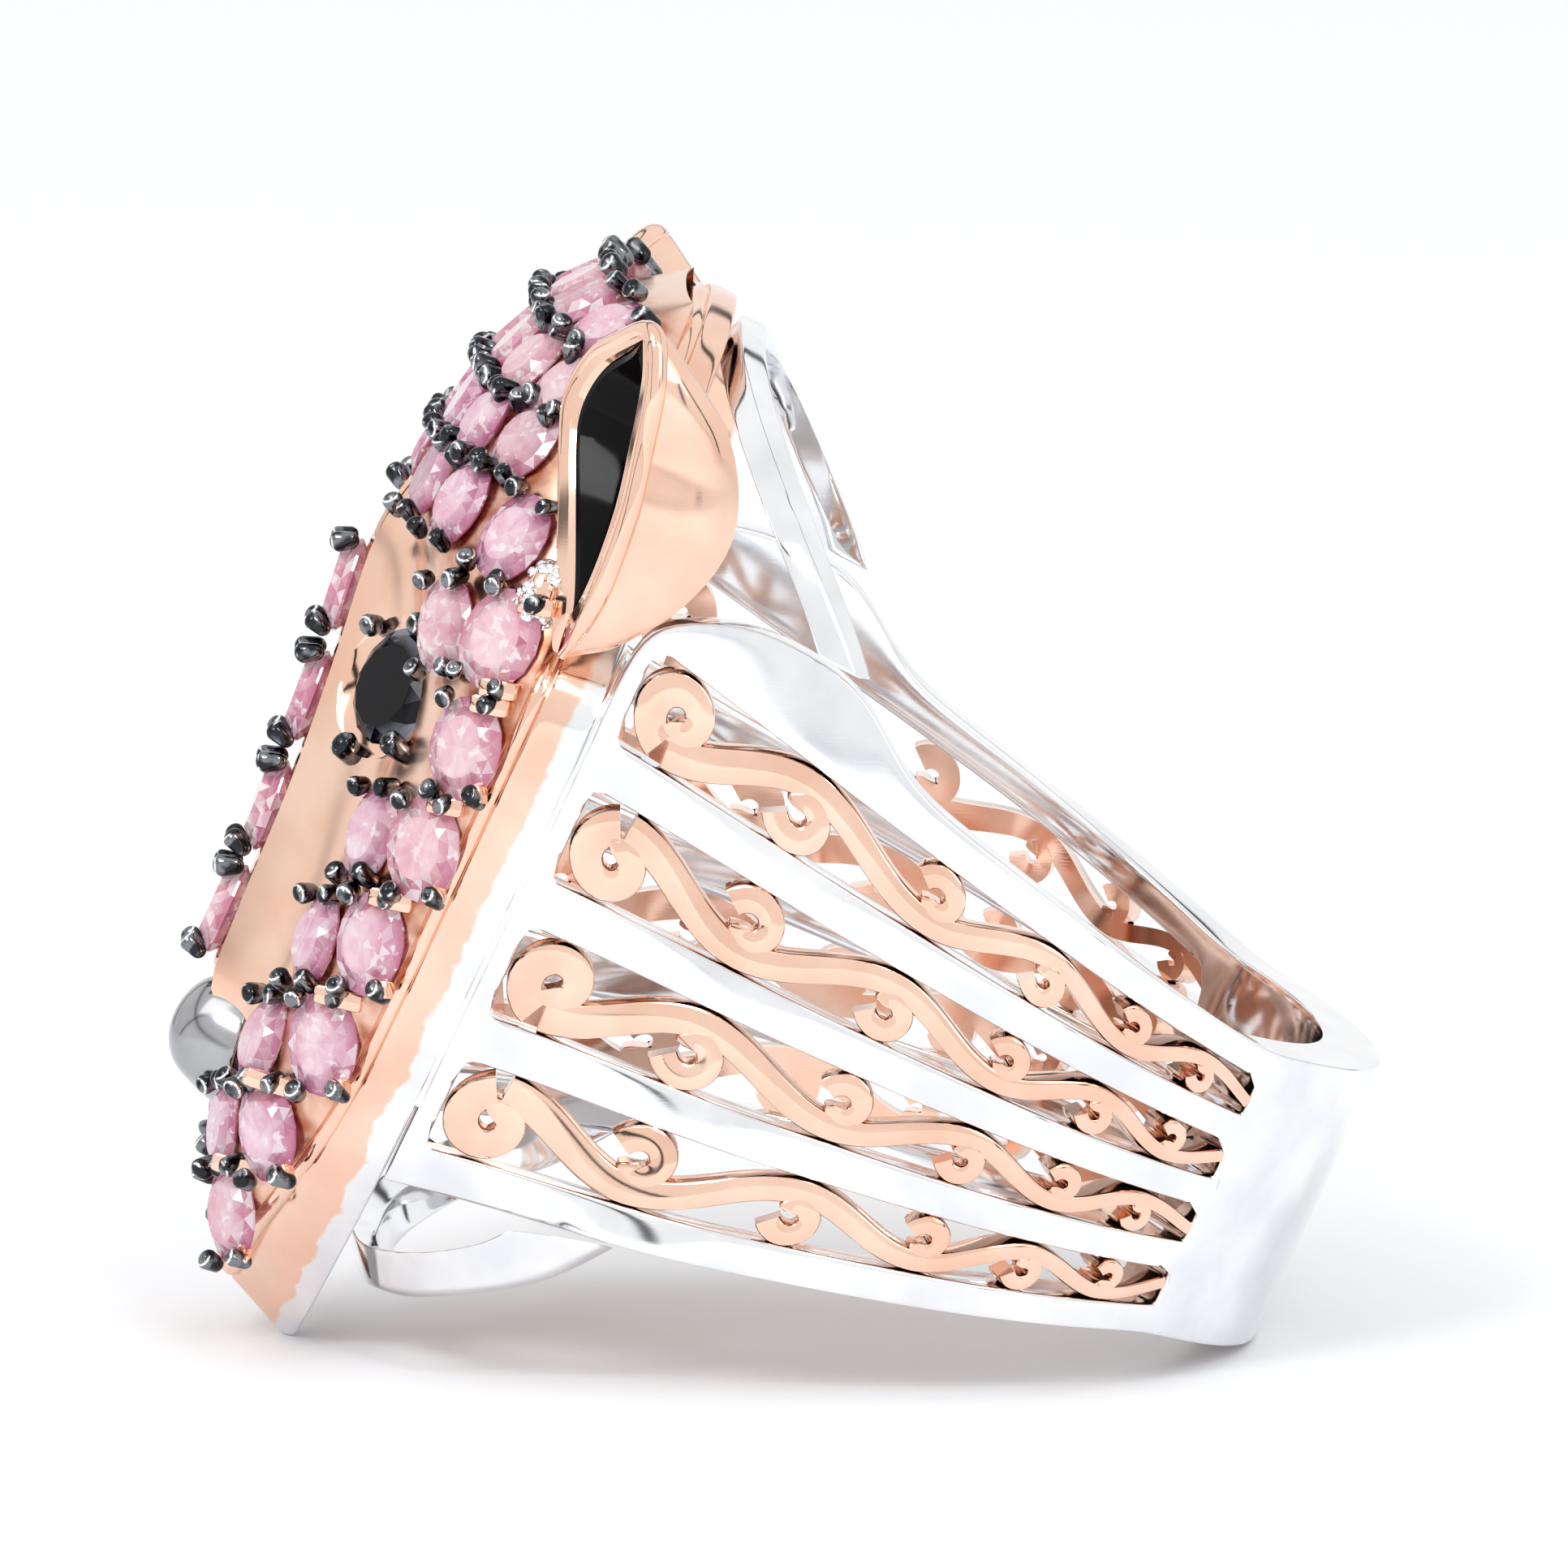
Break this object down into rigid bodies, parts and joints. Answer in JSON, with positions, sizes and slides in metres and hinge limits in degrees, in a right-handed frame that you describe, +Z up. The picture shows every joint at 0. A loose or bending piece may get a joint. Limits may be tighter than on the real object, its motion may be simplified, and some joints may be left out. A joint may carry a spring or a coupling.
{
  "type": "cocktail ring",
  "caption": "Statement ring with a stone-set animal face, cupped ears and black eyes, on a tapered silver shank pierced with rose-gold scrolls.",
  "frame": {"origin": "centre of the bounding box at floor level, with the ring standing on its chin and on the back edge of its shank", "axes": "+Z up, -Y the way the face looks, +X to the ring's right as its maker sees it from behind; the ring leans forward, so its finger axis runs up and back in the YZ plane"},
  "size_m": [0.0206, 0.03, 0.027],
  "materials": {
    "polished_silver": "bright polished silver",
    "rose_gold": "polished rose-gold plate",
    "black_rhodium": "glossy black plate on silver",
    "black_enamel": "glossy black enamel",
    "pink_stone": "faceted purplish-pink gemstone",
    "black_stone": "faceted opaque black gemstone"
  },
  "bodies": {
    "root": {"shank": "polished_silver", "fret_left_1": "rose_gold", "fret_left_2": "rose_gold", "fret_left_3": "rose_gold", "fret_left_4": "rose_gold", "fret_right_1": "rose_gold", "fret_right_2": "rose_gold", "fret_right_3": "rose_gold", "fret_right_4": "rose_gold", "head_frame": "rose_gold", "gallery_arch_ears": "polished_silver", "gallery_arch_chin": "polished_silver", "face_shell": "rose_gold", "muzzle_ridge": "rose_gold", "nose": "black_rhodium", "eye_left": "black_stone", "eye_right": "black_stone", "ear_left": "rose_gold", "ear_right": "rose_gold", "ear_lining_left": "black_enamel", "ear_lining_right": "black_enamel", "stone_outer_left_1": "pink_stone", "stone_outer_left_2": "pink_stone", "stone_outer_left_3": "pink_stone", "stone_outer_left_4": "pink_stone", "stone_outer_left_5": "pink_stone", "stone_outer_left_6": "pink_stone", "stone_outer_left_7": "pink_stone", "stone_outer_right_1": "pink_stone", "stone_outer_right_2": "pink_stone", "stone_outer_right_3": "pink_stone", "stone_outer_right_4": "pink_stone", "stone_outer_right_5": "pink_stone", "stone_outer_right_6": "pink_stone", "stone_outer_right_7": "pink_stone", "stone_inner_left_1": "pink_stone", "stone_inner_left_2": "pink_stone", "stone_inner_left_3": "pink_stone", "stone_inner_left_4": "pink_stone", "stone_inner_left_5": "pink_stone", "stone_inner_right_1": "pink_stone", "stone_inner_right_2": "pink_stone", "stone_inner_right_3": "pink_stone", "stone_inner_right_4": "pink_stone", "stone_inner_right_5": "pink_stone", "stone_brow_left_1": "pink_stone", "stone_brow_left_2": "pink_stone", "stone_brow_left_3": "pink_stone", "stone_brow_right_1": "pink_stone", "stone_brow_right_2": "pink_stone", "stone_brow_right_3": "pink_stone", "stone_crown_left_1": "pink_stone", "stone_crown_left_2": "pink_stone", "stone_crown_right_1": "pink_stone", "stone_crown_right_2": "pink_stone", "stone_crown_middle": "pink_stone", "stone_muzzle_1": "pink_stone", "stone_muzzle_2": "pink_stone", "stone_muzzle_3": "pink_stone", "stone_muzzle_4": "pink_stone"}
  },
  "joints": []
}
